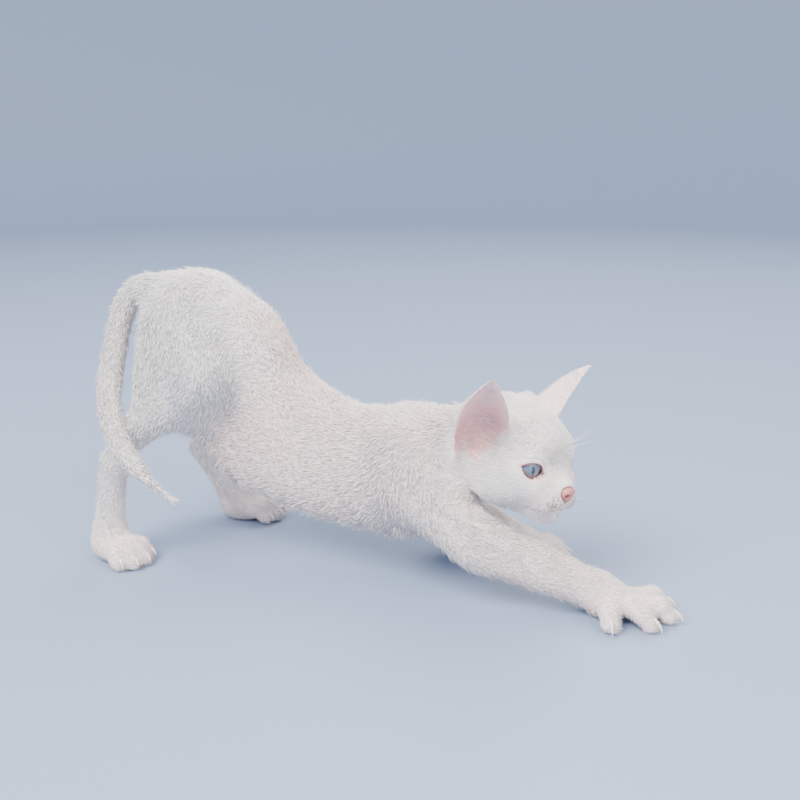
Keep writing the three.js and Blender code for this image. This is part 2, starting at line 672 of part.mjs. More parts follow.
function tailLength(from, to) {
  const rows = Math.ceil((to - from) * TAIL_ROWS);
  const sections = [];
  const side = point(0, 0, 0);
  const rise = point(0, 0, 0);
  for (let i = 0; i <= rows; i++) {
    const t = from + ((to - from) * i) / rows;
    const centre = tailLine.getPointAt(t);
    const ahead = tailLine.getTangentAt(t);
    side.set(0, 1, 0).cross(ahead).normalize();
    rise.copy(ahead).cross(side);
    const ring = [];
    for (let j = 0; j < TAIL_SIDES; j++) {
      const a = (j / TAIL_SIDES) * 2 * Math.PI;
      const corner = centre.clone().addScaledVector(side, tailRadius(t) * Math.cos(a));
      ring.push(corner.addScaledVector(rise, tailRadius(t) * Math.sin(a)));
    }
    sections.push(ring);
  }
  return solidOf(new LoftGeometry(sections, { capStart: true, capEnd: true }));
}

const tailGroup = group(...tailLine.getPointAt(0).toArray());
const tailGap = SEAM / tailLine.getLength();
add("tail_base", tailGroup, clearOf(tailLength(0, 0.34), pelvis));
add("tail_middle", tailGroup, tailLength(0.34 + tailGap, 0.67));
add("tail_tip", tailGroup, tailLength(0.67 + tailGap, 1));

kitten.position.set(-ORIGIN[0], -ORIGIN[1], 0);

export default kitten;
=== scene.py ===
"""A Devon Rex kitten in a stretching bow, as a still, life-size museum model."""
from math import cos, pi, radians, sin

import bmesh
import bpy
import numpy as np
from mathutils import Euler, Matrix, Vector
from mathutils.kdtree import KDTree


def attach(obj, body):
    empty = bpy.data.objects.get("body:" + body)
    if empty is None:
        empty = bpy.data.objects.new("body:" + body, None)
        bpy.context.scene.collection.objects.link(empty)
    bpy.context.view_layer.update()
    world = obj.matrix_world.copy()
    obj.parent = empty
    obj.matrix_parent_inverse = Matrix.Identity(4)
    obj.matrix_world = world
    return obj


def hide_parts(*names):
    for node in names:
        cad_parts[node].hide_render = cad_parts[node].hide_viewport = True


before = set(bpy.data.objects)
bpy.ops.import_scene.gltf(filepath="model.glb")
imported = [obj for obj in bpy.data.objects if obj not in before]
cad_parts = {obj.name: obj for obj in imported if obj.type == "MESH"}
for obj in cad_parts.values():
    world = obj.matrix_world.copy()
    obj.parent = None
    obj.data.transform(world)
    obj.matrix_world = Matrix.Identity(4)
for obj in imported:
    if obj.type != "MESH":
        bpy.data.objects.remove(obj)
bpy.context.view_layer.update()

# The studio: a plain pale blue sweep that curves up behind, under a broad soft light from the
# front left and weaker ones from the right and behind. The camera stands at the photo's place.
camera = bpy.data.objects.new("camera", bpy.data.cameras.new("camera"))
camera.location = (0.1903, -0.5451, 0.262)
camera.rotation_euler = (radians(75), 0, radians(18.2))
camera.data.lens = 45
camera.data.sensor_width = 36
bpy.context.scene.collection.objects.link(camera)
bpy.context.scene.camera = camera

SWEEP_RADIUS = 2.4
SWEEP_BEND = 0.9
SWEEP_HEIGHT = 2.4
profile = [(0.001, 0), (0.6, 0), (1.2, 0), (SWEEP_RADIUS, 0)]
for turn in np.linspace(0.08, radians(90), 18):
    profile.append((SWEEP_RADIUS + SWEEP_BEND * sin(turn), SWEEP_BEND * (1 - cos(turn))))
profile.append((SWEEP_RADIUS + SWEEP_BEND, SWEEP_HEIGHT))
sweep = bmesh.new()
line = [sweep.verts.new((out, 0, rise)) for out, rise in profile]
edges = [sweep.edges.new(pair) for pair in zip(line, line[1:])]
bmesh.ops.spin(
    sweep, geom=line + edges, cent=(0, 0, 0), axis=(0, 0, 1), dvec=(0, 0, 0),
    angle=2 * pi, steps=72, use_merge=True)
bmesh.ops.remove_doubles(sweep, verts=sweep.verts, dist=0.002)
bmesh.ops.recalc_face_normals(sweep, faces=sweep.faces)
floor_mesh = bpy.data.meshes.new("studio_sweep")
sweep.to_mesh(floor_mesh)
sweep.free()
floor_mesh.shade_smooth()
floor = bpy.data.objects.new("studio_sweep", floor_mesh)
bpy.context.scene.collection.objects.link(floor)
floor_paint = bpy.data.materials.new("pale_blue_paper")
floor_paint.use_nodes = True
floor_shader = floor_paint.node_tree.nodes["Principled BSDF"]
floor_shader.inputs["Base Color"].default_value = (0.25, 0.32, 0.46, 1)
floor_shader.inputs["Roughness"].default_value = 0.45
floor_mesh.materials.append(floor_paint)

LIGHTS = (
    # name, place, watts and size of its square face
    ("key_light", (-0.7, -1.2, 1.7), 116, 1.3),
    ("fill_light", (1.5, -0.9, 1.0), 38, 1.6),
    ("back_light", (0.2, 1.3, 1.7), 32, 1.4),
)
LIT_PLACE = Vector((0, 0, 0.08))
for name, place, watts, size in LIGHTS:
    lamp = bpy.data.objects.new(name, bpy.data.lights.new(name, "AREA"))
    lamp.data.energy = watts
    lamp.data.color = (1, 0.965, 0.93)
    lamp.data.size = size
    lamp.location = place
    lamp.rotation_euler = (LIT_PLACE - Vector(place)).to_track_quat("-Z", "Y").to_euler()
    bpy.context.scene.collection.objects.link(lamp)

room = bpy.data.worlds.new("pale_room")
room.use_nodes = True
room.node_tree.nodes["Background"].inputs["Color"].default_value = (0.95, 0.95, 0.96, 1)
room.node_tree.nodes["Background"].inputs["Strength"].default_value = 1.6
bpy.context.scene.world = room


# The skin: one closed hide over the whole kitten. The parted solids are grown until they touch,
# joined, smoothed and drawn in by the depth of the coat, so that no seam is left. The broad parts
# of the body are then evened once more, and the valleys between the toes are deepened.
mm = 0.001
SKIN_VOXEL = 0.85 * mm
JOIN_GROWTH = 0.35 * mm
JOIN_SMOOTHING = 14
SKIN_FACES_KEPT = 0.36
DOUBLES_APART = 0.01 * mm
LOWEST_SKIN = 0.1 * mm
DEPTH_BLEND = 25
# How deep the coat is on each sort of body part, in millimetres
COAT_DEPTH = {
    "head": 1.1, "muzzle": 0.7, "lower_jaw": 0.7, "neck": 1.9, "chest": 2.1, "belly": 1.9, "pelvis": 2.1,
    "thigh": 1.9, "shank": 1.6, "hock": 1.3, "hindpaw": 0.9, "upper_arm": 1.8, "forearm": 1.4,
    "forepaw": 0.9, "tail_base": 1.9, "tail_middle": 1.7, "tail_tip": 1.4, "ear": 0.45,
}
flesh = sorted(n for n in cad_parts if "claw" not in n and "eye" not in n and n != "nose")
kinds = sorted(COAT_DEPTH)


def kind_of(node):
    """The sort of body part that a node is, whichever side it is on."""
    return next(k for k in sorted(kinds, key=len, reverse=True) if node.startswith(k))


body = bmesh.new()
landmarks = []
for node in flesh:
    part = bmesh.new()
    part.from_mesh(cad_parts[node].data)
    bmesh.ops.remove_doubles(part, verts=part.verts, dist=DOUBLES_APART)
    part.normal_update()
    landmarks += [(f.calc_center_median(), kinds.index(kind_of(node))) for f in part.faces]
    for vert in part.verts:
        vert.co += vert.normal * JOIN_GROWTH
    grown = bpy.data.meshes.new("grown")
    part.to_mesh(grown)
    body.from_mesh(grown)
    part.free()
    bpy.data.meshes.remove(grown)
skin_mesh = bpy.data.meshes.new("skin")
body.to_mesh(skin_mesh)
body.free()
skin = bpy.data.objects.new("skin", skin_mesh)
bpy.context.scene.collection.objects.link(skin)

nearest_part = KDTree(len(landmarks))
for place, kind in landmarks:
    nearest_part.insert(place, kind)
nearest_part.balance()


def apply_modifiers(piece):
    """Leaves the piece with the mesh that its modifiers make, and none of them."""
    made = bpy.data.meshes.new_from_object(piece.evaluated_get(bpy.context.evaluated_depsgraph_get()))
    piece.modifiers.clear()
    piece.data = made


def points_of(mesh):
    """The places of a mesh's vertices as an array."""
    flat = np.empty(len(mesh.vertices) * 3)
    mesh.vertices.foreach_get("co", flat)
    return flat.reshape(-1, 3)


def normals_of(mesh):
    """The normals at a mesh's vertices as an array."""
    flat = np.empty(len(mesh.vertices) * 3)
    mesh.vertex_normals.foreach_get("vector", flat)
    return flat.reshape(-1, 3)


def spread(mesh, values, rounds):
    """Each vertex's value averaged with those next to it, over and over."""
    ends = np.empty(len(mesh.edges) * 2, int)
    mesh.edges.foreach_get("vertices", ends)
    a, b = ends[::2], ends[1::2]
    count = np.bincount(a, minlength=len(values)) + np.bincount(b, minlength=len(values)) + 1
    for _ in range(rounds):
        total = np.bincount(a, values[b], len(values)) + np.bincount(b, values[a], len(values))
        values = (values + total) / count
    return values


remesh = skin.modifiers.new("join", "REMESH")
remesh.mode = "VOXEL"
remesh.voxel_size = SKIN_VOXEL
smooth = skin.modifiers.new("soften", "SMOOTH")
smooth.factor = 0.5
smooth.iterations = JOIN_SMOOTHING
apply_modifiers(skin)

kind_at = np.array([nearest_part.find(v.co)[1] for v in skin.data.vertices])
depth_at = spread(skin.data, np.array([COAT_DEPTH[k] for k in kinds])[kind_at], DEPTH_BLEND)
drawn_in = points_of(skin.data) - normals_of(skin.data) * depth_at[:, None] * mm
drawn_in[:, 2] = np.maximum(drawn_in[:, 2], LOWEST_SKIN)
skin.data.vertices.foreach_set("co", drawn_in.ravel())

keep_fine = skin.vertex_groups.new(name="body")
fine_kinds = [kinds.index(k) for k in ("head", "muzzle", "lower_jaw", "ear", "forepaw", "hindpaw")]
keep_fine.add([int(i) for i in np.flatnonzero(~np.isin(kind_at, fine_kinds))], 1.0, "REPLACE")
thin = skin.modifiers.new("thin", "DECIMATE")
thin.ratio = SKIN_FACES_KEPT
thin.vertex_group = "body"
apply_modifiers(skin)
skin.vertex_groups.clear()
kind_at = np.array([nearest_part.find(v.co)[1] for v in skin.data.vertices])

EVEN_PARTS = (
    "neck", "chest", "belly", "pelvis", "thigh", "shank", "hock", "upper_arm", "forearm", "tail_base")
EVEN_SHARE = 0.9
EVEN_ROUNDS = 40
EVEN_LIFT = 0.35 * mm
RELIEF = {"forepaw": 1.1, "hindpaw": 1.1, "muzzle": 0.5}
RELIEF_ROUNDS = 14
PART_BLEND = 12
SOLE_HEIGHT = 1.5 * mm
VALLEY_DEPTH = 0.35 * mm


def smoothed(places, rounds):
    """The skin's vertices moved to the average of those around them."""
    return np.column_stack([spread(skin.data, places[:, i], rounds) for i in range(3)])


places = points_of(skin.data)
even = spread(skin.data, np.isin(kind_at, [kinds.index(k) for k in EVEN_PARTS]).astype(float), PART_BLEND)
lift = EVEN_LIFT * normals_of(skin.data)
places += EVEN_SHARE * even[:, None] * (smoothed(places, EVEN_ROUNDS) - places + lift)
relief = places - smoothed(places, RELIEF_ROUNDS)
strength = spread(skin.data, np.array([RELIEF.get(k, 0.0) for k in kinds])[kind_at], PART_BLEND)
strength *= places[:, 2] > SOLE_HEIGHT
places = places + relief * strength[:, None]
places[:, 2] = np.maximum(places[:, 2], LOWEST_SKIN)
# Painted shade: how deep each vertex lies in a valley between the toes or a fold of the muzzle, later
# painted pink as the shade there
valley_shade = np.clip(-(relief * normals_of(skin.data)).sum(1) / VALLEY_DEPTH, 0, 1) * strength
skin.data.vertices.foreach_set("co", places.ravel())

# The head's own frame: forward out of the nose, left, and up, from a place between the ears
HEAD_PLACE = Vector((82.2, -3.9, 84.6)) * mm
HEAD_TURN = Euler((radians(-6.8), radians(13.9), radians(-26.3)))
head_frame = Matrix.LocRotScale(HEAD_PLACE, HEAD_TURN, None)
head_axes = np.array(head_frame.to_3x3())


def in_head(places):
    """Places of the model given in millimetres in the head's own frame."""
    return (places - np.array(HEAD_PLACE)) @ head_axes / mm


def out_of_head(places):
    """Places in the head's own frame, in millimetres, given in the model's."""
    return np.asarray(places) * mm @ head_axes.T + np.array(HEAD_PLACE)


# The eyelids: the skin round each eye is pressed out to a thin lid over the ball, and inside the
# almond opening it is tucked away behind the ball's surface. A fold runs above each upper lid.
# Sizes are in millimetres in the head's frame.
EYE_RADIUS = 8.4
LID_RADIUS = 9.25
LID_REACH = 16
LID_SNAP = 0.42
LID_BLEND = 6
LID_SLOPE = 0.12
TUCK = 1.8
FOLD_GAP = 2.7
FOLD_WIDTH = 0.6
FOLD_DEPTH = 0.55
EYE_MIDDLE = (18.6, 15.6, 3.0)
GAZE_OUT = radians(24)
EYE_SLANT = radians(14)
EYE_HALF_LENGTH = 7.25
EYE_ABOVE = 9.2
EYE_BELOW = 7.2
SIDES = {"right": -1, "left": 1}


def eye_axes(side):
    """Rows in the head's frame: out along the opening, up across it, and along the gaze."""
    out = np.array((-sin(GAZE_OUT), side * cos(GAZE_OUT), 0))
    up = np.array((0, 0, 1.0))
    gaze = np.array((cos(GAZE_OUT), side * sin(GAZE_OUT), 0))
    along = cos(EYE_SLANT) * out + sin(EYE_SLANT) * up
    across = cos(EYE_SLANT) * up - sin(EYE_SLANT) * out
    return np.array((along, across, gaze))


def eye_middle(side):
    """The middle of an eyeball in the head's frame."""
    return np.array(EYE_MIDDLE) * (1, side, 1)


def opening_outline(steps):
    """The almond opening as points on a plane across the gaze, inner corner first."""
    t = np.linspace(0, 1, steps + 1)[:, None]
    inner, outer = np.array((-EYE_HALF_LENGTH, 0)), np.array((EYE_HALF_LENGTH, 0))
    over = np.array((-0.2 * EYE_HALF_LENGTH, EYE_ABOVE))
    under = np.array((-0.1 * EYE_HALF_LENGTH, -EYE_BELOW))
    upper = (1 - t) ** 2 * inner + 2 * t * (1 - t) * over + t * t * outer
    lower = (1 - t) ** 2 * outer + 2 * t * (1 - t) * under + t * t * inner
    return np.vstack((upper[:-1], lower[:-1]))


def from_opening(flat):
    """How far points on the plane lie outside the opening, and the nearest point of its edge."""
    ring = opening_outline(40)
    ahead = np.roll(ring, -1, 0) - ring
    reach = np.clip(((flat[:, None] - ring) * ahead).sum(2) / (ahead ** 2).sum(1), 0, 1)
    nearest = ring + reach[..., None] * ahead
    gap = np.linalg.norm(flat[:, None] - nearest, axis=2)
    best = gap.argmin(1)
    rows = np.arange(len(flat))
    rise = np.where(np.abs(ahead[:, 1]) < 1e-9, 1e-9, ahead[:, 1])
    level = flat[:, None, 1]
    straddles = (ring[:, 1] > level) != (np.roll(ring, -1, 0)[:, 1] > level)
    to_the_right = flat[:, None, 0] < ring[:, 0] + ahead[:, 0] * (level - ring[:, 1]) / rise
    inside = (straddles & to_the_right).sum(1) % 2 == 1
    return np.where(inside, -1, 1) * gap[rows, best], nearest[rows, best]


face = in_head(places)
lid_gap = np.full(len(face), 99.0)
for side in SIDES.values():
    axes = eye_axes(side)
    seen = (face - eye_middle(side)) @ axes.T
    near = np.flatnonzero((np.linalg.norm(seen, axis=1) < LID_REACH) & (seen[:, 2] > 0.5))
    local = seen[near]
    gap, edge = from_opening(local[:, :2])
    reach = np.linalg.norm(local, axis=1)
    snapped = np.abs(gap) < LID_SNAP
    local[snapped, :2] = edge[snapped]
    over_ball = np.maximum(reach, LID_RADIUS + LID_SLOPE * np.clip(gap, 0, 4))
    wanted = np.where(gap < -LID_SNAP, EYE_RADIUS - TUCK, over_ball)
    wanted = np.where(snapped, LID_RADIUS, wanted)
    fold = np.exp(-((gap - FOLD_GAP) / FOLD_WIDTH) ** 2) * (local[:, 1] > 0.5)
    wanted = wanted - FOLD_DEPTH * fold
    flat_part = np.linalg.norm(local[:, :2], axis=1)
    depth = np.sqrt(np.maximum(wanted ** 2 - flat_part ** 2, 1.0))
    local[:, 2] = np.where(gap < LID_BLEND, depth, local[:, 2])
    face[near] = local @ axes + eye_middle(side)
    lid_gap[near] = np.minimum(lid_gap[near], gap)
skin.data.vertices.foreach_set("co", out_of_head(face).ravel())

# The mouth and muzzle: a furrow from the nose down to the lips, and the closed line of the mouth,
# which runs back under the whisker pads to a corner on each cheek.
MOUTH_HEIGHT = -19.2
MOUTH_BACK = 21.0
MOUTH_WIDTH = 0.75
MOUTH_DEPTH = 1.3
FURROW_BOTTOM = -19.0
FURROW_TOP = -10.5
FURROW_WIDTH = 0.7
FURROW_DEPTH = 0.8
skin.data.update()
face = in_head(points_of(skin.data))
outward = normals_of(skin.data) @ head_axes
mouth_line = MOUTH_HEIGHT + 1.6 * np.exp(-(face[:, 1] / 3.2) ** 2)
mouth_line += 0.11 * np.clip(24 - face[:, 0], 0, 14)
mouth = np.exp(-((face[:, 2] - mouth_line) / MOUTH_WIDTH) ** 2)
mouth *= np.clip((face[:, 0] - MOUTH_BACK) / 5, 0, 1)
furrow = np.exp(-(face[:, 1] / FURROW_WIDTH) ** 2) * (face[:, 0] > 33)
furrow *= (face[:, 2] > FURROW_BOTTOM) & (face[:, 2] < FURROW_TOP)
face -= outward * (MOUTH_DEPTH * mouth + FURROW_DEPTH * furrow)[:, None]
skin.data.vertices.foreach_set("co", out_of_head(face).ravel())
skin.data.shade_smooth()

# Markings, kept as values on the skin and passed on to each tuft: how pink the skin shows, with
# painted shade as pink in the valleys between the toes and in the folds of the muzzle; how red the
# ear's hollow is, its red deepened by painted shade at the bottom of the cup; and how brown the
# stains of the muzzle and the inner corner of the eye are, with painted shade as a brown and red
# line in the closed mouth.
PINK_SKIN = {
    "head": 0.16, "muzzle": 0.3, "lower_jaw": 0.15, "neck": 0.46, "chest": 0.4, "belly": 0.56,
    "pelvis": 0.14, "thigh": 0.12, "shank": 0.12, "hock": 0.14, "hindpaw": 0.28, "upper_arm": 0.26,
    "forearm": 0.34, "forepaw": 0.34, "tail_base": 0.2, "tail_middle": 0.24, "tail_tip": 0.26,
    "ear": 0.45,
}
PINK_BLEND = 30
# Places on the left side of the head, in its own frame
EAR_HOLLOW = (-3.0, 31.0, 12.0)
EAR_HOLLOW_SIZE = (11.0, 11.0, 16.0)
EAR_FACES = (0.76, 0.3, -0.57)
# The bottom of the ear's cup, where the ear's red skin is deepened by painted shade
RED_HOLLOW = (-8.5, 36.5, 8.0)
RED_HOLLOW_SIZE = (8.0, 8.0, 11.0)
TEAR_STAIN = (27.8, 9.8, -1.2)
TEAR_STAIN_SIZE = (3.2, 2.4, 3.6)
PAD_STAIN = (41.0, 9.5, -12.5)
PAD_STAIN_SIZE = (8.0, 7.0, 6.0)
STAIN_STRENGTH = 0.95
places = points_of(skin.data)
facing = normals_of(skin.data) @ head_axes
pink = spread(skin.data, np.array([PINK_SKIN[k] for k in kinds])[kind_at], PINK_BLEND)
is_ear = (kind_at == kinds.index("ear")).astype(float)
inner_ear = np.zeros(len(places))
red = np.zeros(len(places))
for side in SIDES.values():
    mirror = (1, side, 1)
    from_hollow = np.linalg.norm((face - np.multiply(EAR_HOLLOW, mirror)) / EAR_HOLLOW_SIZE, axis=1)
    in_cup = np.maximum(is_ear, np.clip((1.3 - from_hollow) * 4, 0, 1)) * (face[:, 1] * side > 0)
    in_cup *= np.clip(facing @ np.multiply(EAR_FACES, mirror) * 2.5 + 0.4, 0, 1)
    inner_ear += in_cup
    # The ear's pink and red skin, painted a deeper red towards the bottom of the cup as shade
    from_red = np.linalg.norm((face - np.multiply(RED_HOLLOW, mirror)) / RED_HOLLOW_SIZE, axis=1)
    red += in_cup * np.maximum(np.exp(-from_red ** 2), 0.3 * np.exp(-(from_hollow / 0.95) ** 2))
pink = np.maximum(pink, 0.85 * inner_ear)
pink = np.maximum(pink, 0.75 * np.exp(-(np.clip(lid_gap, 0, 99) / 2.2) ** 2))
pink = np.maximum(pink, 0.7 * mouth)
# Painted shade: pink in the valleys between the toes and in the folds of the muzzle
pink = np.maximum(pink, 0.6 * valley_shade)
# Painted shade: a little red in the closed line of the mouth
red = np.maximum(red, 0.3 * mouth ** 2)
pink = np.clip(spread(skin.data, pink, 2), 0, 1)


def mark(middle, size):
    """How strongly a mark shows at each vertex: it fades from the vertex nearest to its middle."""
    on_skin = face[np.linalg.norm(face - middle, axis=1).argmin()]
    return np.exp(-np.linalg.norm((face - on_skin) / size, axis=1) ** 2)


brown = np.zeros(len(places))
for side in SIDES.values():
    mirror = (1, side, 1)
    brown = np.maximum(brown, STAIN_STRENGTH * mark(np.multiply(TEAR_STAIN, mirror), TEAR_STAIN_SIZE))
    brown = np.maximum(brown, STAIN_STRENGTH * mark(np.multiply(PAD_STAIN, mirror), PAD_STAIN_SIZE))
# Painted shade: speckled brown along the closed line of the mouth, the crease between the lips
brown = np.maximum(brown, 0.9 * mouth ** 2)
for name, values in (("pink", pink), ("red", red), ("brown", brown)):
    layer = skin.data.attributes.new(name, "FLOAT", "POINT")
    layer.data.foreach_set("value", values.astype(np.float32))

# The colour of the hide, shared by the skin and the fur: white, pink where the attribute says so,
# red in the ear's hollow and speckled brown at the stains. Painted shade comes in through the same
# values: pink in the valleys between the toes, a deeper red at the bottom of the ear's cup, and red
# and speckled brown along the closed line of the mouth.
HOLLOW_RED_AND_SHADE = (0.55, 0.13, 0.12, 1)
STAIN_AND_SHADE_BROWN = (0.13, 0.075, 0.055, 1)
HIDE_INPUTS = (("White", "NodeSocketColor"), ("Pink", "NodeSocketColor"), ("Show", "NodeSocketFloat"))
hide = bpy.data.node_groups.new("hide_colour", "ShaderNodeTree")
for socket, kind in HIDE_INPUTS:
    hide.interface.new_socket(socket, in_out="INPUT", socket_type=kind)
hide.interface.new_socket("Color", in_out="OUTPUT", socket_type="NodeSocketColor")


def put(tree, kind, **values):
    """A new shader node with its inputs, or its own properties, set by name."""
    node = tree.nodes.new(kind)
    for key, value in values.items():
        if key in node.inputs:
            node.inputs[key].default_value = value
        else:
            setattr(node, key, value)
    return node


def blend_colours(tree, factor, first, second):
    """Mixes two colours, each a socket or four numbers, and gives the socket of the result."""
    mix = put(tree, "ShaderNodeMix", data_type="RGBA")
    for socket, value in ((mix.inputs[0], factor), (mix.inputs[6], first), (mix.inputs[7], second)):
        if isinstance(value, bpy.types.NodeSocket):
            tree.links.new(value, socket)
        else:
            socket.default_value = value
    return mix.outputs[2]


def number(tree, operation, first, second):
    """A Math node on sockets or numbers, and the socket of its result."""
    node = put(tree, "ShaderNodeMath", operation=operation, use_clamp=operation == "MULTIPLY")
    for socket, value in zip(node.inputs, (first, second)):
        if isinstance(value, bpy.types.NodeSocket):
            tree.links.new(value, socket)
        else:
            socket.default_value = value
    return node.outputs[0]


entry = hide.nodes.new("NodeGroupInput")
leave = hide.nodes.new("NodeGroupOutput")
where = put(hide, "ShaderNodeTexCoord")
mottle = put(hide, "ShaderNodeTexNoise", Scale=140.0, Detail=3.0, Roughness=0.6)
speckle = put(hide, "ShaderNodeTexNoise", Scale=900.0, Detail=2.0, Roughness=0.6)
for texture in (mottle, speckle):
    hide.links.new(where.outputs["Object"], texture.inputs["Vector"])
spots = put(hide, "ShaderNodeMapRange")
spots.inputs["From Min"].default_value = 0.44
spots.inputs["From Max"].default_value = 0.56
hide.links.new(speckle.outputs["Fac"], spots.inputs["Value"])
read = {}
for name in ("pink", "red", "brown"):
    read[name] = put(hide, "ShaderNodeAttribute", attribute_name=name).outputs["Fac"]
patchy = number(hide, "MULTIPLY", read["pink"], number(hide, "ADD", mottle.outputs["Fac"], 0.55))
shown = number(hide, "MULTIPLY", patchy, entry.outputs["Show"])
colour = blend_colours(hide, shown, entry.outputs["White"], entry.outputs["Pink"])
# Red of the ear's skin, with painted shade deepening it at the bottom of the cup and along the line of
# the mouth
reddened = number(hide, "MULTIPLY", read["red"], entry.outputs["Show"])
colour = blend_colours(hide, reddened, colour, HOLLOW_RED_AND_SHADE)
# Brown of the stains at the eyes and whisker pads, and painted shade along the closed line of the mouth
stain_and_shade = number(hide, "MULTIPLY", read["brown"], spots.outputs["Result"])
colour = blend_colours(hide, stain_and_shade, colour, STAIN_AND_SHADE_BROWN)
hide.links.new(colour, leave.inputs["Color"])

skin_finish = bpy.data.materials.new("thin_skin")
skin_finish.use_nodes = True
tree = skin_finish.node_tree
shader = tree.nodes["Principled BSDF"]
shader.inputs["Roughness"].default_value = 0.62
shader.inputs["Subsurface Weight"].default_value = 0.15
shader.inputs["Subsurface Radius"].default_value = (0.004, 0.0016, 0.0012)
shader.inputs["Subsurface Scale"].default_value = 1.0
shader.inputs["Sheen Weight"].default_value = 0.15
of_hide = put(tree, "ShaderNodeGroup", node_tree=hide)
of_hide.inputs["White"].default_value = (0.93, 0.89, 0.87, 1)
of_hide.inputs["Pink"].default_value = (0.94, 0.53, 0.49, 1)
of_hide.inputs["Show"].default_value = 1.0
tree.links.new(of_hide.outputs["Color"], shader.inputs["Base Color"])
where = put(tree, "ShaderNodeTexCoord")
down = put(tree, "ShaderNodeTexNoise", Scale=900.0, Detail=5.0, Roughness=0.65)
tree.links.new(where.outputs["Object"], down.inputs["Vector"])
rough_down = put(tree, "ShaderNodeBump", Strength=0.35, Distance=0.0006)
tree.links.new(down.outputs["Fac"], rough_down.inputs["Height"])
tree.links.new(rough_down.outputs["Normal"], shader.inputs["Normal"])
skin.data.materials.clear()
skin.data.materials.append(skin_finish)
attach(skin, "root")
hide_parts(*flesh)


# The eyes: wet balls with a pale blue iris in fine rays, a dark rim and an upright slit of a
# pupil, framed by thin dark lid rims. Each iris is drawn on a map that looks along its gaze.
IRIS_RADIUS = 6.3
CORNEA_RISE = 0.35
PUPIL_SLANT = EYE_SLANT + radians(13)
PUPIL_HALF_WIDTH = 0.034
PUPIL_HALF_LENGTH = 0.115
LID_RIM_RADIUS = 0.47 * mm
eye_finish = bpy.data.materials.new("blue_eye")
eye_finish.use_nodes = True
tree = eye_finish.node_tree
shader = tree.nodes["Principled BSDF"]
shader.inputs["Roughness"].default_value = 0.08
shader.inputs["Coat Weight"].default_value = 1.0
shader.inputs["Coat Roughness"].default_value = 0.02
gaze_map = put(tree, "ShaderNodeUVMap", uv_map="gaze")
centred = put(tree, "ShaderNodeVectorMath", operation="SUBTRACT")
centred.inputs[1].default_value = (0.5, 0.5, 0)
tree.links.new(gaze_map.outputs["UV"], centred.inputs[0])
radius = put(tree, "ShaderNodeVectorMath", operation="LENGTH")
tree.links.new(centred.outputs["Vector"], radius.inputs[0])
ray_noise = put(tree, "ShaderNodeTexNoise", Scale=26.0, Detail=4.0, Roughness=0.7)
direction = put(tree, "ShaderNodeVectorMath", operation="NORMALIZE")
tree.links.new(centred.outputs["Vector"], direction.inputs[0])
tree.links.new(direction.outputs["Vector"], ray_noise.inputs["Vector"])
rays = put(tree, "ShaderNodeValToRGB")
rays.color_ramp.elements[0].position = 0.35
rays.color_ramp.elements[0].color = (0.05, 0.075, 0.12, 1)
rays.color_ramp.elements[1].position = 0.68
rays.color_ramp.elements[1].color = (0.2, 0.26, 0.35, 1)
tree.links.new(ray_noise.outputs["Fac"], rays.inputs["Fac"])
limbus = put(tree, "ShaderNodeMapRange")
limbus.inputs["From Min"].default_value = 0.2
limbus.inputs["From Max"].default_value = 0.25
tree.links.new(radius.outputs["Value"], limbus.inputs["Value"])
with_rim = blend_colours(tree, limbus.outputs["Result"], rays.outputs["Color"], (0.05, 0.045, 0.06, 1))
white_of_eye = put(tree, "ShaderNodeMapRange")
white_of_eye.inputs["From Min"].default_value = 0.27
white_of_eye.inputs["From Max"].default_value = 0.3
tree.links.new(radius.outputs["Value"], white_of_eye.inputs["Value"])
with_white = blend_colours(tree, white_of_eye.outputs["Result"], with_rim, (0.42, 0.3, 0.29, 1))
slit_shape = put(tree, "ShaderNodeVectorMath", operation="MULTIPLY")
slit_shape.inputs[1].default_value = (1 / PUPIL_HALF_WIDTH, 1 / PUPIL_HALF_LENGTH, 0)
tree.links.new(centred.outputs["Vector"], slit_shape.inputs[0])
slit_size = put(tree, "ShaderNodeVectorMath", operation="LENGTH")
tree.links.new(slit_shape.outputs["Vector"], slit_size.inputs[0])
slit = put(tree, "ShaderNodeMapRange")
slit.inputs["From Min"].default_value = 1.15
slit.inputs["From Max"].default_value = 0.9
tree.links.new(slit_size.outputs["Value"], slit.inputs["Value"])
with_pupil = blend_colours(tree, slit.outputs["Result"], with_white, (0.008, 0.008, 0.012, 1))
tree.links.new(with_pupil, shader.inputs["Base Color"])

rim_finish = bpy.data.materials.new("lid_rim")
rim_finish.use_nodes = True
tree = rim_finish.node_tree
shader = tree.nodes["Principled BSDF"]
shader.inputs["Roughness"].default_value = 0.32
grain = put(tree, "ShaderNodeTexNoise", Scale=1500.0, Detail=3.0)
shade = blend_colours(tree, grain.outputs["Fac"], (0.1, 0.045, 0.045, 1), (0.36, 0.18, 0.165, 1))
where = put(tree, "ShaderNodeTexCoord")
tree.links.new(where.outputs["Object"], grain.inputs["Vector"])
tree.links.new(shade, shader.inputs["Base Color"])


def tube(name, lines, thickness, closed, finish, sides=2):
    """Round strands along lines of (x, y, z, share of the thickness), in metres, as one mesh."""
    curve = bpy.data.curves.new(name, "CURVE")
    curve.dimensions = "3D"
    curve.bevel_depth = thickness
    curve.bevel_resolution = sides
    curve.use_fill_caps = True
    for line in lines:
        spline = curve.splines.new("POLY")
        spline.points.add(len(line) - 1)
        for point, (x, y, z, share) in zip(spline.points, line):
            point.co = (x, y, z, 1)
            point.radius = share
        spline.use_cyclic_u = closed
    strand = bpy.data.objects.new(name, curve)
    bpy.context.scene.collection.objects.link(strand)
    mesh = bpy.data.meshes.new_from_object(strand.evaluated_get(bpy.context.evaluated_depsgraph_get()))
    bpy.data.objects.remove(strand)
    piece = bpy.data.objects.new(name, mesh)
    bpy.context.scene.collection.objects.link(piece)
    mesh.shade_smooth()
    mesh.materials.clear()
    mesh.materials.append(finish)
    return piece


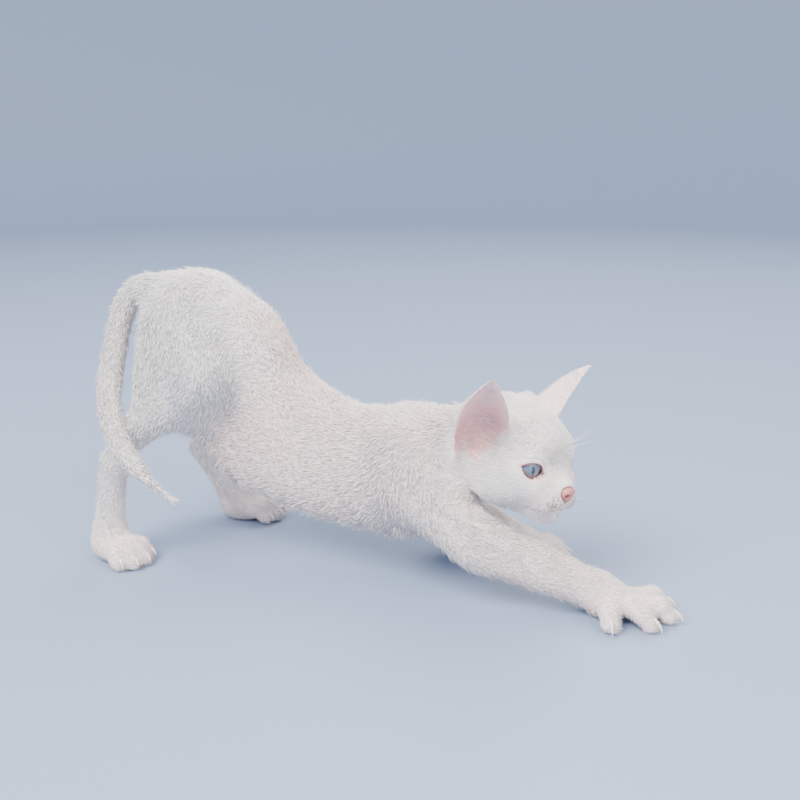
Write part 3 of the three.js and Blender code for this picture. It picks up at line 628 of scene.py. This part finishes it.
for side_name, side in SIDES.items():
    axes = eye_axes(side)
    ball = bmesh.new()
    bmesh.ops.create_uvsphere(ball, u_segments=48, v_segments=32, radius=EYE_RADIUS)
    gaze_uv = ball.loops.layers.uv.new("gaze")
    for vert in ball.verts:
        tilt = vert.co.normalized().z
        vert.co *= 1 + CORNEA_RISE / EYE_RADIUS * max(0, min(1, (tilt - 0.7) / 0.2))
    upright = np.array((
        (cos(PUPIL_SLANT), -sin(PUPIL_SLANT)),
        (sin(PUPIL_SLANT), cos(PUPIL_SLANT)),
    ))
    for f in ball.faces:
        f.smooth = True
        for loop in f.loops:
            flat = upright @ np.array(loop.vert.co.xy)
            loop[gaze_uv].uv = 0.5 + flat / (4 * IRIS_RADIUS)
    for vert in ball.verts:
        vert.co = out_of_head(np.array(vert.co) @ axes + eye_middle(side))
    bmesh.ops.recalc_face_normals(ball, faces=ball.faces)
    ball_mesh = bpy.data.meshes.new("eyeball_" + side_name)
    ball.to_mesh(ball_mesh)
    ball.free()
    eyeball = bpy.data.objects.new("eyeball_" + side_name, ball_mesh)
    bpy.context.scene.collection.objects.link(eyeball)
    ball_mesh.materials.append(eye_finish)
    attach(eyeball, "root")
    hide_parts("eye_" + side_name)

    edge = opening_outline(30)
    rise = np.sqrt((LID_RADIUS - 0.25) ** 2 - (edge ** 2).sum(1))
    ring = out_of_head(np.column_stack((edge, rise)) @ axes + eye_middle(side))
    rim = tube("lid_rim_" + side_name, [[(*p, 1) for p in ring]], LID_RIM_RADIUS, True, rim_finish)
    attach(rim, "root")


# The nose leather: a moist pink pad with a fine pebbled grain, split by the furrow, with a
# comma-shaped nostril on each side, painted near black as the shade inside its pit.
NOSTRIL = (42.6, 3.3, -6.6)
NOSTRIL_SIZE = (2.2, 1.15, 0.85)
NOSTRIL_DEPTH = 1.3
CLEFT_WIDTH = 0.4
CLEFT_TOP = -5.5
CLEFT_DEPTH = 0.35
NOSE_VOXEL = 0.4 * mm
pad = bmesh.new()
pad.from_mesh(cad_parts["nose"].data)
bmesh.ops.remove_doubles(pad, verts=pad.verts, dist=DOUBLES_APART)
pad_mesh = bpy.data.meshes.new("nose_leather")
pad.to_mesh(pad_mesh)
pad.free()
nose = bpy.data.objects.new("nose_leather", pad_mesh)
bpy.context.scene.collection.objects.link(nose)
remesh = nose.modifiers.new("close", "REMESH")
remesh.mode = "VOXEL"
remesh.voxel_size = NOSE_VOXEL
smooth = nose.modifiers.new("soften", "SMOOTH")
smooth.iterations = 6
apply_modifiers(nose)
tip = in_head(points_of(nose.data))
out = normals_of(nose.data) @ head_axes
nostril = np.zeros(len(tip))
for side in SIDES.values():
    from_hole = (tip - np.array(NOSTRIL) * (1, side, 1)) / NOSTRIL_SIZE
    nostril = np.maximum(nostril, np.exp(-(np.linalg.norm(from_hole, axis=1)) ** 2))
cleft = np.exp(-(tip[:, 1] / CLEFT_WIDTH) ** 2) * (tip[:, 2] < CLEFT_TOP)
tip -= out * (NOSTRIL_DEPTH * nostril + CLEFT_DEPTH * cleft)[:, None]
nose.data.vertices.foreach_set("co", out_of_head(tip).ravel())
# How deep in a nostril each vertex lies, for the painted shade inside it
layer = nose.data.attributes.new("hollow", "FLOAT", "POINT")
layer.data.foreach_set("value", nostril.astype(np.float32))
nose.data.shade_smooth()

leather = bpy.data.materials.new("nose_leather")
leather.use_nodes = True
tree = leather.node_tree
shader = tree.nodes["Principled BSDF"]
shader.inputs["Roughness"].default_value = 0.38
shader.inputs["Subsurface Weight"].default_value = 0.15
shader.inputs["Subsurface Radius"].default_value = (0.003, 0.001, 0.0008)
shader.inputs["Subsurface Scale"].default_value = 1.0
where = put(tree, "ShaderNodeTexCoord")
pebbles = put(tree, "ShaderNodeTexVoronoi", Scale=2200.0)
tree.links.new(where.outputs["Object"], pebbles.inputs["Vector"])
grain = put(tree, "ShaderNodeBump", Strength=0.35, Distance=0.0002)
tree.links.new(pebbles.outputs["Distance"], grain.inputs["Height"])
tree.links.new(grain.outputs["Normal"], shader.inputs["Normal"])
patches = put(tree, "ShaderNodeTexNoise", Scale=260.0, Detail=3.0)
tree.links.new(where.outputs["Object"], patches.inputs["Vector"])
pinks = blend_colours(tree, patches.outputs["Fac"], (0.5, 0.16, 0.15, 1), (0.7, 0.3, 0.28, 1))
# Painted shade: the nostril pits painted near black
hole = put(tree, "ShaderNodeAttribute", attribute_name="hollow")
with_shaded_nostrils = blend_colours(tree, hole.outputs["Fac"], pinks, (0.12, 0.03, 0.03, 1))
tree.links.new(with_shaded_nostrils, shader.inputs["Base Color"])
nose.data.materials.clear()
nose.data.materials.append(leather)
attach(nose, "root")
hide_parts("nose")


# The claws: small hooks of clear horn in pinkish and creamy streaks, half out of the spread toes.
# Their solids are right as they are and only get this finish.
horn = bpy.data.materials.new("claw_horn")
horn.use_nodes = True
tree = horn.node_tree
shader = tree.nodes["Principled BSDF"]
shader.inputs["Roughness"].default_value = 0.22
shader.inputs["Subsurface Weight"].default_value = 0.2
shader.inputs["Subsurface Radius"].default_value = (0.002, 0.001, 0.0008)
shader.inputs["Subsurface Scale"].default_value = 1.0
where = put(tree, "ShaderNodeTexCoord")
layers = put(tree, "ShaderNodeTexNoise", Scale=700.0, Detail=3.0)
tree.links.new(where.outputs["Object"], layers.inputs["Vector"])
streaks = blend_colours(tree, layers.outputs["Fac"], (0.8, 0.62, 0.55, 1), (0.93, 0.88, 0.82, 1))
tree.links.new(streaks, shader.inputs["Base Color"])
for node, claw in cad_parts.items():
    if "claw" in node:
        claw.data.materials.clear()
        claw.data.materials.append(horn)


# The coat: short, soft, wavy fur in thin tapered tufts that lie back from the nose over the body
# and down the limbs, shortest on the face and feet. Each tuft is a closed three-sided blade that
# is sown on the skin and bends once on its way to the tip.
COATS = {
    # parts that each piece covers, and its tufts for each square millimetre of skin
    "coat_of_head": (("head",), 1.55),
    "coat_of_muzzle": (("muzzle", "lower_jaw"), 3.0),
    "coat_of_ears": (("ear",), 1.4),
    "coat_of_neck": (("neck",), 1.45),
    "coat_of_chest": (("chest",), 0.92),
    "coat_of_belly": (("belly",), 1.15),
    "coat_of_rump": (("pelvis",), 1.2),
    "coat_of_thighs": (("thigh",), 1.12),
    "coat_of_hind_legs": (("shank", "hock"), 1.2),
    "coat_of_hind_paws": (("hindpaw",), 1.6),
    "coat_of_upper_arms": (("upper_arm",), 1.2),
    "coat_of_forearms": (("forearm",), 1.3),
    "coat_of_forepaws": (("forepaw",), 1.7),
    "coat_of_tail": (("tail_base", "tail_middle", "tail_tip"), 1.4),
}
# How long the tufts are on each sort of body part, in millimetres
COAT_LENGTH = {
    "head": 3.2, "muzzle": 1.8, "lower_jaw": 2.2, "neck": 5.4, "chest": 5.6, "belly": 5.0, "pelvis": 5.6,
    "thigh": 5.2, "shank": 4.6, "hock": 3.6, "hindpaw": 2.3, "upper_arm": 4.8, "forearm": 3.8,
    "forepaw": 2.3, "tail_base": 4.6, "tail_middle": 4.6, "tail_tip": 5.6, "ear": 2.2,
}
LENGTH_BLEND = 60
RISE_BLEND = 40
NOSE_MIDDLE = (41, 0, -7)
RIPPLE = 9.0 * mm
SWIRL_RIPPLE = 2.2 * RIPPLE
# The share of tufts that stand out of the coat, and how much higher these rise
STANDING = 0.12
STANDING_RISE = 2.0
# The rings of a tuft, as shares of its length, and how far it snakes to either side
BENDS = np.array((0, 0.55))
SNAKING = 0.07
SNAKE_TURN = 4.2
ROOT_SUNK = 0.25 * mm
LOWEST_FUR = 0.12 * mm
PATCH = 0.003
# Lines that the fur lies along, from nose to tail and down each limb, in millimetres
LIE = {
    "neck": ((64, -1, 88), (31, 3, 82), (4, 4, 66)),
    "back": ((31, 3, 70), (-41, 4, 70), (-75, 4, 92), (-97, 4, 134), (-123, 4, 155), (-150, 4, 172)),
    "tail": ((-153, 4, 174), (-166, 0, 170), (-173, -5, 155), (-173, -13, 138), (-170, -26, 119),
             (-162, -41, 101), (-150, -53, 88), (-137, -60, 77), (-125, -63, 69), (-107, -64, 58)),
    "right hind leg": ((-127, -14, 152), (-103, -33, 120), (-166, -36, 63), (-171, -39, 14),
                       (-150, -47, 5)),
    "left hind leg": ((-127, 22, 152), (-95, 42, 108), (-151, 46, 52), (-125, 48, 14), (-98, 53, 5)),
    "right foreleg": ((35, -20, 60), (67, -27, 35), (135, -20, 14), (172, -22, 5)),
    "left foreleg": ((31, 28, 62), (39, 36, 26), (77, 37, 13), (104, 41, 5)),
}

chance = np.random.default_rng(1207)
skin.data.update()
skin.data.calc_loop_triangles()
bpy.context.view_layer.objects.active = skin
for other in bpy.context.selected_objects:
    other.select_set(False)
skin.select_set(True)
bpy.ops.object.mode_set(mode="EDIT")
bpy.ops.mesh.select_all(action="SELECT")
bpy.ops.uv.smart_project(angle_limit=radians(66), island_margin=0.002)
bpy.ops.object.mode_set(mode="OBJECT")
skin.data.calc_loop_triangles()
skin_map = skin.data.uv_layers.active
skin_map.name = "unwrap"
skin_uv = np.empty(len(skin_map.data) * 2)
skin_map.data.foreach_get("uv", skin_uv)
skin_uv = skin_uv.reshape(-1, 2)
tris = np.empty(len(skin.data.loop_triangles) * 3, int)
skin.data.loop_triangles.foreach_get("vertices", tris)
tris = tris.reshape(-1, 3)
tri_loops = np.empty(len(tris) * 3, int)
skin.data.loop_triangles.foreach_get("loops", tri_loops)
tri_loops = tri_loops.reshape(-1, 3)
place_at = points_of(skin.data)
up_at = normals_of(skin.data)
face = in_head(place_at)
edges = place_at[tris[:, 1:]] - place_at[tris[:, :1]]
tri_area = np.linalg.norm(np.cross(edges[:, 0], edges[:, 1]), axis=1) / 2
tri_kind = kind_at[tris[:, 0]]
length_at = spread(skin.data, np.array([COAT_LENGTH[k] for k in kinds])[kind_at], LENGTH_BLEND)
rise_at = spread(skin.data, np.array([COAT_DEPTH[k] for k in kinds])[kind_at], RISE_BLEND)
muzzle_gap = np.linalg.norm(face - NOSE_MIDDLE, axis=1)
length_at *= np.clip(0.15 + lid_gap / 9, 0.15, 1) * np.clip(muzzle_gap / 16, 0.25, 1)
length_at *= 1 - 0.6 * mouth
cover_at = (lid_gap > 0.2) * (muzzle_gap > 5.5) * (1 - 0.97 * mouth) * (place_at[:, 2] > 0.7 * mm)
cover_at = cover_at * (1 - 0.75 * inner_ear)

starts, runs = [], []
for line in LIE.values():
    line = np.array(line) * mm
    starts += list(line[:-1])
    runs += list(line[1:] - line[:-1])
starts, runs = np.array(starts), np.array(runs)


def lie_of(roots):
    """The way that the fur lies at each root, before it is laid flat on the skin."""
    lie = np.zeros_like(roots)
    for start, run in zip(starts, runs):
        share = np.clip((roots - start) @ run / (run @ run), 0, 1)
        gap = np.linalg.norm(roots - start - share[:, None] * run, axis=1)
        lie += (1 / (gap / mm + 2) ** 4)[:, None] * run / np.linalg.norm(run)
    lie /= np.linalg.norm(lie, axis=1)[:, None] + 1e-12
    head_place = in_head(roots)
    on_head = np.clip((head_place[:, 0] + 24) / 14, 0, 1) * np.clip((head_place[:, 2] + 38) / 10, 0, 1)
    on_head *= np.clip((62 - np.linalg.norm(head_place, axis=1)) / 8, 0, 1)
    fanned = np.column_stack((0 * roots[:, 0], head_place[:, 1], head_place[:, 2] - 4)) / 60
    back = np.array((-1, 0, 0.0)) + fanned
    return lie * (1 - on_head[:, None]) + back @ head_axes.T * on_head[:, None]


def wave_of(roots, size, turn):
    """Ripples that wander over the coat, from -1 to 1."""
    x, y, z = (roots / size).T
    bend = np.sin(2.1 * y + 1.3 * z + turn) + np.sin(1.7 * x - 1.1 * y + 2 * turn)
    return np.sin(2 * np.pi * (0.75 * x + 0.45 * z) + 1.9 * bend)


coat_finish = bpy.data.materials.new("white_fur")
coat_finish.use_nodes = True
tree = coat_finish.node_tree
shader = tree.nodes["Principled BSDF"]
shader.inputs["Roughness"].default_value = 0.7
shader.inputs["Specular IOR Level"].default_value = 0.25
shader.inputs["Sheen Weight"].default_value = 0.2
of_hide = put(tree, "ShaderNodeGroup", node_tree=hide)
of_hide.inputs["White"].default_value = (0.96, 0.945, 0.93, 1)
of_hide.inputs["Pink"].default_value = (0.95, 0.64, 0.58, 1)
of_hide.inputs["Show"].default_value = 0.95
tone = put(tree, "ShaderNodeAttribute", attribute_name="tone")
toned = put(tree, "ShaderNodeMix", data_type="RGBA", blend_type="MULTIPLY")
toned.inputs[0].default_value = 1.0
tree.links.new(of_hide.outputs["Color"], toned.inputs[6])
tree.links.new(tone.outputs["Color"], toned.inputs[7])
tree.links.new(toned.outputs[2], shader.inputs["Base Color"])


def sow(parts, per_mm2):
    """Roots spread evenly over the skin of these parts: their triangles and their shares in them."""
    sown = tri_area * np.isin(tri_kind, [kinds.index(k) for k in parts]) * cover_at[tris].mean(1)
    count = int(sown.sum() / mm ** 2 * per_mm2)
    steps = (np.arange(count) + chance.random(count)) / count * sown.sum()
    tri = np.minimum(np.searchsorted(np.cumsum(sown), steps), len(tris) - 1)
    spot = chance.random((count, 2))
    spot = np.where(spot.sum(1, keepdims=True) > 1, 1 - spot, spot)
    return tri, np.column_stack((1 - spot.sum(1), spot))


def at_roots(values, tri, share):
    """A value of the skin's vertices read at each root."""
    return (share[..., None] * values[tris[tri]].reshape(len(tri), 3, -1)).sum(1)


def comb(root, up):
    """Unit ways along and across each tuft, laid on the skin and swirled a little by the waves."""
    count = len(root)
    lie = lie_of(root)
    outward = (lie * up).sum(1) / np.linalg.norm(lie, axis=1)
    # At the blunt end of the tail and toes the fur points on, instead of lying down sideways
    lie -= up * ((lie * up).sum(1) * np.where(outward > 0.75, 0.3, 1))[:, None]
    lie /= np.linalg.norm(lie, axis=1)[:, None] + 1e-9
    across = np.cross(up, lie)
    swirl = (0.3 * wave_of(root, SWIRL_RIPPLE, 0.4) + 0.22 * chance.standard_normal(count))[:, None]
    return lie * np.cos(swirl) + across * np.sin(swirl), across * np.cos(swirl) - lie * np.sin(swirl)


def shape_blades(root, up, long_mm, rise_mm):
    """The vertices of each tuft, three for each ring and one at the tip."""
    count = len(root)
    lie, across = comb(root, up)
    long = long_mm * mm * chance.uniform(0.7, 1.25, count)
    wide = (0.068 * long + 0.17 * mm) * chance.uniform(0.8, 1.25, count)
    rise = rise_mm * mm * chance.uniform(0.5, 0.95, count) * (1 + 0.25 * wave_of(root, RIPPLE, 0))
    rise *= np.clip(long / (2.5 * mm), 0.25, 1)
    rise *= np.where(chance.random(count) < STANDING, STANDING_RISE, 1)
    phase = 2.5 * wave_of(root, RIPPLE, 1.1) + chance.uniform(0, 1.5, count)

    def snake(s):
        return across * (SNAKING * long * (np.sin(phase + SNAKE_TURN * s) - np.sin(phase)))[:, None]

    rings = []
    for s in BENDS:
        centre = root + lie * (long * s)[:, None] + snake(s)
        centre = centre + up * (rise * (1 - (1 - s) ** 1.7) - (1 - s) * ROOT_SUNK)[:, None]
        half = wide[:, None] * (0.5 if s < 0.5 else 0.9 * (1 - s) + 0.03)
        corners = (centre - across * half, centre + across * half, centre + up * (0.75 * half))
        rings.append(np.stack(corners, 1))
    tip = root + lie * long[:, None] + up * rise[:, None] + snake(1)
    blade = np.concatenate(rings + [tip[:, None]], 1)
    blade[..., 2] = np.maximum(blade[..., 2], LOWEST_FUR)
    return blade


def faces_of_blade():
    """The triangles of one tuft: its root, the sides from ring to ring, and the tip."""
    faces = [(0, 1, 2)]
    for low in range(0, 3 * len(BENDS) - 3, 3):
        high = low + 3
        for a, b in ((1, 0), (2, 1), (0, 2)):
            faces += [(low + a, low + b, high + b), (low + a, high + b, high + a)]
    last = 3 * len(BENDS) - 3
    faces += [(last + a, last + b, last + 3) for a, b in ((1, 0), (2, 1), (0, 2))]
    return np.array(faces)


def lay_coat(name, parts, per_mm2):
    """Covers these parts with tufts, joined as one piece that rides on the body."""
    tri, share = sow(parts, per_mm2)
    count = len(tri)
    up = at_roots(up_at, tri, share)
    up /= np.linalg.norm(up, axis=1)[:, None]
    long_mm = at_roots(length_at, tri, share)[:, 0]
    rise_mm = at_roots(rise_at, tri, share)[:, 0]
    blade = shape_blades(at_roots(place_at, tri, share), up, long_mm, rise_mm)
    each = blade.shape[1]
    faces = (faces_of_blade()[None] + each * np.arange(count)[:, None, None]).reshape(-1, 3)
    mesh = bpy.data.meshes.new(name)
    mesh.vertices.add(count * each)
    mesh.loops.add(faces.size)
    mesh.polygons.add(len(faces))
    mesh.vertices.foreach_set("co", blade.ravel())
    mesh.loops.foreach_set("vertex_index", faces.ravel().astype(np.int32))
    mesh.polygons.foreach_set("loop_start", np.arange(0, faces.size, 3, dtype=np.int32))

    along = np.append(np.repeat(BENDS, 3), 1.0)
    aside = np.append(np.tile((-0.5, 0.5, 0.1), len(BENDS)), 0.0)
    drop = np.append(np.tile((0, 0, 0.12), len(BENDS)), 0.0)
    root_uv = (share[..., None] * skin_uv[tri_loops[tri]]).sum(1)
    patch = PATCH * np.stack((aside, along * 0.85 + drop - 0.5), 1)
    uv = (root_uv[:, None] + patch[None]).reshape(-1, 2)
    bake_map = mesh.uv_layers.new(name="OFBake")
    bake_map.data.foreach_set("uv", uv[faces.ravel()].ravel())

    fade = (1 - 0.45 * along)[None]
    for key, values in (
        ("tone", 1 - 0.1 * chance.random(count)[:, None] * (1 - 0.5 * along)[None]),
        ("pink", at_roots(pink, tri, share) * fade),
        ("red", at_roots(red, tri, share) * fade),
        ("brown", at_roots(brown, tri, share) * np.ones(each)[None]),
    ):
        layer = mesh.attributes.new(key, "FLOAT", "POINT")
        layer.data.foreach_set("value", values.astype(np.float32).ravel())
    mesh.update()
    mesh.validate()
    mesh.shade_smooth()
    mesh.materials.append(coat_finish)
    piece = bpy.data.objects.new(name, mesh)
    bpy.context.scene.collection.objects.link(piece)
    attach(piece, "root")


for name, (parts, per_mm2) in COATS.items():
    lay_coat(name, parts, per_mm2)


# The whiskers: short, fine and bent, as the breed has them, on the pads and over the eyes.
WHISKER_RADIUS = 0.17 * mm
WHISKER_SUNK = 1.5
WHISKERS = (
    # root, the way it grows, and length, in millimetres on the left side of the head
    ((35, 10.5, -12), (0.35, 1.0, 0.1), 15),
    ((33, 12.0, -14), (0.1, 1.0, -0.15), 17),
    ((36, 9.5, -15), (0.4, 1.0, -0.35), 12),
    ((38, 7.5, -11), (0.8, 0.8, 0.25), 10),
    ((38, 7.5, -15), (0.8, 0.8, -0.4), 10),
    ((25, 11.0, 14.5), (0.6, 0.3, 1.1), 20),
    ((24, 13.0, 14.5), (0.7, 0.5, 0.9), 16),
    ((26, 9.5, 13.5), (0.9, 0.2, 0.8), 17),
)
whisker_finish = bpy.data.materials.new("whisker")
whisker_finish.use_nodes = True
shader = whisker_finish.node_tree.nodes["Principled BSDF"]
shader.inputs["Base Color"].default_value = (0.93, 0.92, 0.9, 1)
shader.inputs["Roughness"].default_value = 0.3
strands = []
for side in SIDES.values():
    for root, way, length in WHISKERS:
        way = np.array(way) / np.linalg.norm(way)
        bend = np.cross(way, (0.3, 0.2, 1.0))
        droop = chance.uniform(-0.25, 0.35)
        line = []
        for s in np.linspace(0, 1, 10):
            place = np.array(root) - WHISKER_SUNK * way + way * length * s + bend * length * droop * s * s
            line.append((*out_of_head(place * (1, side, 1)), 1 - 0.8 * s))
        strands.append(line)
whiskers = tube("whiskers", strands, WHISKER_RADIUS, False, whisker_finish, 1)
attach(whiskers, "root")
